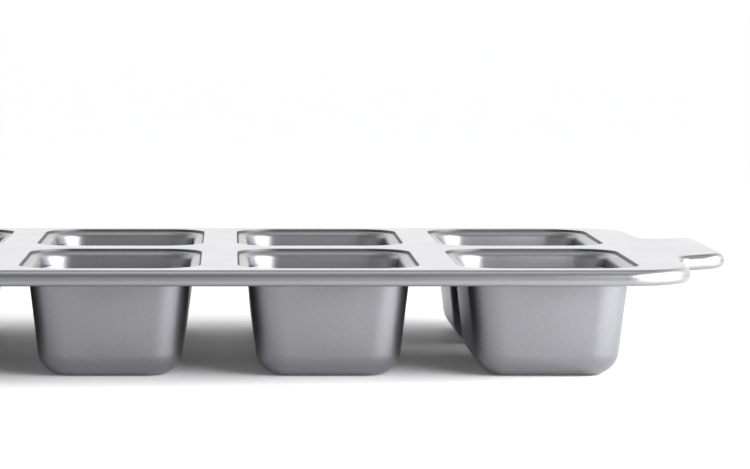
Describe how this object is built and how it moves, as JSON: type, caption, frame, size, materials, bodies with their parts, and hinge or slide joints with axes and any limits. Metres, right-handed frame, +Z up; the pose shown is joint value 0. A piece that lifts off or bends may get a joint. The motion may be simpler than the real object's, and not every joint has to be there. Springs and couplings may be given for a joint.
{
  "type": "muffin pan",
  "caption": "Loaf-shaped muffin pan in satin steel: drawn cups locked into a pressed frame with a wired, rolled rim and wide handle tabs.",
  "frame": {"origin": "on the table plane, under the middle of the pan", "axes": "+X along the row of cups towards a handle tab, +Y from the front row of cups to the back row, +Z up from the table"},
  "size_m": [0.4264, 0.248, 0.0458],
  "materials": {
    "frame_sheet": "satin",
    "cup_sheet": "satin, fine grain",
    "rim_wire": "drawn"
  },
  "bodies": {
    "root": {"frame_sheet": "frame_sheet", "rim_wire": "rim_wire", "cup_front_1": "cup_sheet", "cup_front_2": "cup_sheet", "cup_front_3": "cup_sheet", "cup_front_4": "cup_sheet", "cup_back_1": "cup_sheet", "cup_back_2": "cup_sheet", "cup_back_3": "cup_sheet", "cup_back_4": "cup_sheet"}
  },
  "joints": []
}
